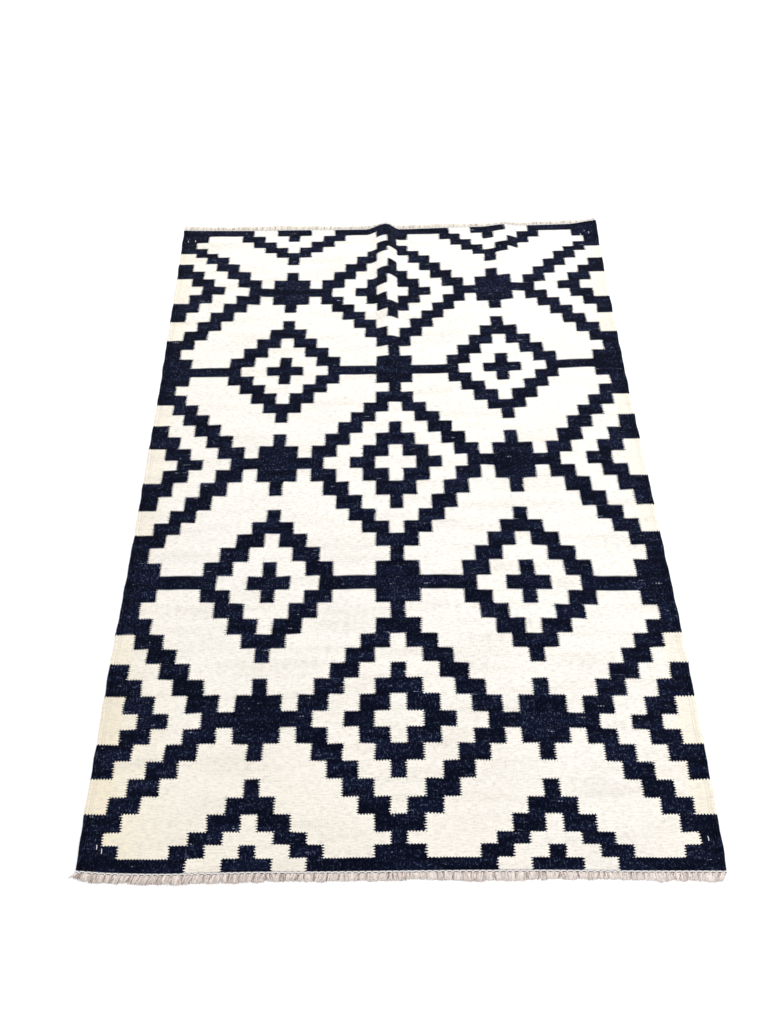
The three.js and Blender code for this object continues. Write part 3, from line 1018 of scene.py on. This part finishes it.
# At the left corner the near end's plies fan outwards and are shorter, and at the right side the plies of
# both ends turn inwards.
left_fan = {"reach": 0.055, "lean": 0.013, "shortening": 0.50}
right_turn = {"reach": 0.060, "lean": 0.016}
# How far the tips of the near end lean to the right: at the left they were all combed one way.
near_lean = named_columns(
    "across lean",
    (-0.80, -0.002),
    (-0.70, -0.008),
    (-0.55, -0.008),
    (-0.40, -0.003),
    (-0.20, -0.004),
    (0.00, 0.000),
)

# %% Paths of the plies


def tufts(random, count):
    """Splits the warps into tufts of random size, and gives for each warp its tuft's number."""
    sizes = random.integers(*tuft_size, size=count)
    return np.repeat(np.arange(count), sizes)[:count]


def ply_paths(random, outwards, end):
    """Each ply starts at its warp in the twined row. With s from 0 to 1 along it, it goes outwards by
    length times s, sideways by its lean times s, its curl times the sine of a half turn times s, and its
    hook times s cubed, and up in a low arch that ends just over the floor. Where a fold lifts the cloth, it
    droops by that height, or by its length if that is less, times s squared, and reaches out less. Each
    bows up by a little of its own, so that plies lie over each other. Also gives which plies are at the rim
    of a tuft."""
    warp = np.arange(warps_per_end)
    warp_across = ((warp + 0.5) / warps_per_end * 2 - 1) * (half_width - side_gap)
    tuft = tufts(random, warps_per_end)
    tuft_count = tuft[-1] + 1
    tuft_changes = tuft[1:] != tuft[:-1]
    tuft_middle = np.bincount(tuft, warp_across) / np.bincount(tuft)
    lean = random.normal(0, tuft_lean, tuft_count)[tuft] + tuft_pull * (tuft_middle[tuft] - warp_across)
    lengths_here = read(fringe_lengths, "across", end, warp_across)
    warp_length = lengths_here * random.uniform(*tuft_length, tuft_count)[tuft]

    spread = random.normal(0, root_spread, warps_per_end * plies_per_warp)
    across = np.repeat(warp_across, plies_per_warp) + spread
    across = np.clip(across, side_gap - half_width, half_width - side_gap)
    first_in_tuft = np.repeat(np.append(True, tuft_changes), plies_per_warp)
    last_in_tuft = np.repeat(np.append(tuft_changes, True), plies_per_warp)
    at_rim = np.where(spread < 0, first_in_tuft, last_in_tuft)
    lean = np.repeat(lean, plies_per_warp) + random.normal(0, ply_lean, len(across))
    lengths = np.repeat(warp_length, plies_per_warp) * random.uniform(*ply_length, len(across))
    if outwards < 0:
        left_share = np.clip(1 - (across + half_width) / left_fan["reach"], 0, 1)
        lean = lean + read(near_lean, "across", "lean", across) - left_fan["lean"] * left_share
        lengths = lengths * (1 - left_fan["shortening"] * left_share**2)
    right_share = np.clip(1 - (half_width - across) / right_turn["reach"], 0, 1)
    lean = lean - right_turn["lean"] * right_share
    curl = random.normal(0, sideways_curl, len(across))
    hook = random.normal(0, tip_curl, len(across))

    base = end_point(across, outwards, fringe_start, 0.0)
    s = np.linspace(0, 1, ply_steps)
    lengths, lean, curl, hook = (values[:, None] for values in (lengths, lean, curl, hook))
    base_x, base_y, base_z = (base[:, axis, None] for axis in range(3))
    droop = np.minimum(base_z / lengths, 1)
    x = base_x + lean * s + curl * np.sin(np.pi * s) + hook * s**3
    y = base_y + outwards * lengths * s * (1 - droop_shortening * droop * s)
    rise = root_height * (1 - s) + arch_height * np.sin(np.pi * s) + lowest_height
    stack = random.uniform(0, most_stacked, base_z.shape) * np.sin(np.pi * s)
    z = np.maximum(base_z - droop * lengths * s**2, 0) + rise + stack
    return np.stack([x, y, z], axis=-1), at_rim


# %% Loose fibres
fibres_per_end = 3600
fibre_steps = 3
first_fibre_step = 2
fibre_length = (0.002, 0.006)
fibre_radius = {"root": 0.00032, "tip": 0.00016}
fibre_turn = 0.7
fibre_sag = 0.0012


def fibre_paths(random, plies, outwards):
    """Each fibre leaves a ply at one of its points, outwards but for a random turn sideways, and sags by a
    length times s squared, down to the floor at most."""
    ply = random.integers(0, len(plies), fibres_per_end)
    step = random.integers(first_fibre_step, ply_steps, fibres_per_end)
    start = plies[ply, step]
    length = random.uniform(*fibre_length, fibres_per_end)
    angle = random.normal(0, fibre_turn, fibres_per_end)
    direction = np.stack([np.sin(angle), outwards * np.cos(angle), np.zeros_like(angle)], axis=-1)
    s = np.linspace(0, 1, fibre_steps)[:, None]
    paths = start[:, None] + (length[:, None] * direction)[:, None] * s
    paths[..., 2] = np.maximum(paths[..., 2] - fibre_sag * s[:, 0] ** 2, fibre_radius["root"])
    return paths


# %% Fringe pieces
warp_tones = (0, 0.4)
ply_tones = (0, 0.7)
fibre_tones = (0.5, 1.0)
# rim_shade lowers the tone of the plies at a tuft's rim. This is painted shade between the tufts.
rim_shade = 0.45


def from_left_to_right(x, values):
    """A value that runs evenly from its first number at the left side to its second at the right side."""
    return np.interp(x, (-half_width, half_width), values)


def fringe(name, node, outwards, end, wool, paleness, painted_tip_light, seed):
    """The plies and fibres of one end as one piece, with a tone for every point. The paleness and the
    painted light of the tips run evenly from left to right. The plies at a tuft's rim are drawn darker, as
    painted shade between the tufts."""
    random = np.random.default_rng(seed)
    plies, at_rim = ply_paths(random, outwards, end)
    s = np.linspace(0, 1, ply_steps)
    radius = np.interp(s, (0.0, 0.5, 1.0), (ply_radius["root"], ply_radius["middle"], ply_radius["tip"]))
    ply_radii = radius * random.uniform(*ply_thickness, (len(plies), 1))
    fibres = fibre_paths(random, plies, outwards)
    taper = np.linspace(fibre_radius["root"], fibre_radius["tip"], fibre_steps)
    fibre_radii = np.tile(taper, (len(fibres), 1))
    points, quads = joined([tubes(plies, ply_radii, ply_sides), tubes(fibres, fibre_radii, ply_sides)])

    warp_tone = np.repeat(random.uniform(*warp_tones, warps_per_end), plies_per_warp)
    ply_tone_and_rim_shade = warp_tone + random.uniform(*ply_tones, len(plies)) - rim_shade * at_rim
    ply_tone_and_rim_shade = ply_tone_and_rim_shade + from_left_to_right(plies[:, 0, 0], paleness)
    fibre_tone = random.uniform(*fibre_tones, len(fibres)) + from_left_to_right(fibres[:, 0, 0], paleness)
    # Towards its tip, a ply's tone is raised. This is painted light on the thin tips.
    ring_tone_light_and_shade = ply_tone_and_rim_shade[:, None] + from_left_to_right(plies[:, 0, 0], painted_tip_light)[:, None] * s
    tone_with_painted_light_and_shade = np.concatenate([np.repeat(ring_tone_light_and_shade, ply_sides), np.repeat(fibre_tone, fibre_steps * ply_sides)])
    piece = make_piece(name, points, quads, {"tone_with_painted_light_and_shade": tone_with_painted_light_and_shade})
    piece.data.materials.append(wool)
    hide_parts(node)
    return piece


near_fringe = fringe(
    "near_warp_ends",
    "near_fringe",
    outwards=-1,
    end="near",
    wool=warp_wool,
    paleness=(0.08, 0.14),
    painted_tip_light=(0.0, 0.45),
    seed=11,
)
far_fringe = fringe(
    "far_warp_ends",
    "far_fringe",
    outwards=1,
    end="far",
    wool=far_warp_wool,
    paleness=(0.28, 0.28),
    painted_tip_light=(0.1, 0.1),
    seed=29,
)

# %% [markdown]
# ## The corner stitches
# Near each corner of the rug one or two short stitches of pale yarn lie on the dark wool, along the warps.
# They are what is left of a tacking thread. They could be painted on the cloth, but a real stitch rises out
# of it and dips back, which shows in a low view. So each is a short tube.

# %% Stitches
stitches = named_columns(
    "across along length",
    (-0.802, -1.141, 0.013),
    (-0.788, -1.150, 0.013),
    (0.814, -1.124, 0.012),
    (-0.825, 1.136, 0.009),
    (-0.796, 1.139, 0.011),
    (0.813, 1.142, 0.009),
    (0.779, 1.136, 0.009),
)
stitch_radius = 0.0011
stitch_bow = 0.001
stitch_rise = 0.0016
stitch_roundness = 0.6
stitch_steps = 7
stitch_sides = 6

s = np.linspace(0, 1, stitch_steps)
arch = np.sin(np.pi * s)
stitch_along = stitches["along"][:, None] + stitches["length"][:, None] * (s - 0.5)
stitch_across = np.repeat(stitches["across"][:, None], stitch_steps, axis=1) + stitch_bow * arch
stitch_height = cloth_thickness - stitch_radius + stitch_rise * arch**stitch_roundness
stitch_paths = raised(stitch_across, stitch_along, stitch_height)
stitch_radii = np.full(stitch_paths.shape[:2], stitch_radius)
stitch_points, stitch_quads = tubes(stitch_paths, stitch_radii, sides=stitch_sides)
corner_stitches = make_piece("corner_stitches", stitch_points, stitch_quads)
corner_stitches.data.materials.append(pale_wool)

# %% [markdown]
# ## Floor, light and camera
# The rug lies on a white floor in bright, soft light that is stronger towards the far end, so the cream wool
# there is nearly as white as the floor. Lamps alone would cast edges of shadow. So an even sky gives the
# softness, a large lamp over the far end gives the rest, and a weaker one stands at the right. The camera
# stands at the near end and looks down at the rug through a wide lens.

# %% Floor
# It lies a little under the rug, so that the two never share a place.
floor_half = 9.0
floor_drop = 0.0002

floor_corners = np.array([(-1, -1, 0), (1, -1, 0), (1, 1, 0), (-1, 1, 0)]) * floor_half
floor_corners = floor_corners - (0, 0, floor_drop)
floor_mesh = bpy.data.meshes.new("floor")
floor_mesh.from_pydata(floor_corners.tolist(), [], [(0, 1, 2, 3)])
floor = bpy.data.objects.new("floor", floor_mesh)
bpy.context.scene.collection.objects.link(floor)
floor_paint = empty_material("white_floor_paint")
floor_white = add(
    floor_paint.node_tree, "ShaderNodeBsdfDiffuse", {"Color": linear("#FCFCFD"), "Roughness": 0.5}
)
add(floor_paint.node_tree, "ShaderNodeOutputMaterial", {"Surface": floor_white})
floor_mesh.materials.append(floor_paint)
print("floor:", 2 * floor_half, "m wide")

# %% Light
sky_strength = 0.98
lamps = {
    "far_lamp": {"size": 3.0, "power": 56.0, "place": (0.6, 2.2, 2.6), "towards": (0.1, 0.7, 0.0)},
    "right_lamp": {"size": 2.0, "power": 20.0, "place": (2.9, -0.9, 1.9), "towards": (0.5, -0.8, 0.0)},
}

sky = bpy.data.worlds.new("soft_sky")
sky.use_nodes = True
sky.node_tree.nodes.clear()
sky_inputs = {"Color": linear("#FFFFFF"), "Strength": sky_strength}
sky_light = add(sky.node_tree, "ShaderNodeBackground", sky_inputs)
add(sky.node_tree, "ShaderNodeOutputWorld", {"Surface": sky_light})
bpy.context.scene.world = sky

for name, lamp in lamps.items():
    light = bpy.data.lights.new(name, "AREA")
    light.size = lamp["size"]
    light.energy = lamp["power"]
    holder = bpy.data.objects.new(name, light)
    aim = Vector(lamp["towards"]) - Vector(lamp["place"])
    turned = aim.to_track_quat("-Z", "Y").to_matrix().to_4x4()
    holder.matrix_world = Matrix.Translation(lamp["place"]) @ turned
    holder.visible_camera = False
    bpy.context.scene.collection.objects.link(holder)
bpy.context.scene.view_settings.view_transform = "Standard"
print("lamps:", list(lamps))

# %% Camera
camera_place = (-0.0075, -1.2628, 2.1381)
pitch, yaw, roll = np.radians((62.174, -1.462, -2.032))
sensor_long_side = 36.0
focal_pixels = 732.1
picture_long_side = 1024
farthest_seen = 60.0

forward = np.array((np.sin(yaw) * np.cos(pitch), np.cos(yaw) * np.cos(pitch), -np.sin(pitch)))
level_right = np.array((np.cos(yaw), -np.sin(yaw), 0.0))
level_up = np.cross(level_right, forward)
right = np.cos(roll) * level_right + np.sin(roll) * level_up
up = np.cos(roll) * level_up - np.sin(roll) * level_right
camera_data = bpy.data.cameras.new("camera")
camera_data.sensor_width = sensor_long_side
camera_data.lens = focal_pixels * sensor_long_side / picture_long_side
camera_data.clip_end = farthest_seen
camera = bpy.data.objects.new("camera", camera_data)
camera_turn = Matrix((right, up, -forward)).transposed().to_4x4()
camera.matrix_world = Matrix.Translation(camera_place) @ camera_turn
bpy.context.scene.collection.objects.link(camera)
bpy.context.scene.camera = camera
print("lens:", round(camera_data.lens, 2), "mm")

# %% The end
bpy.context.view_layer.update()
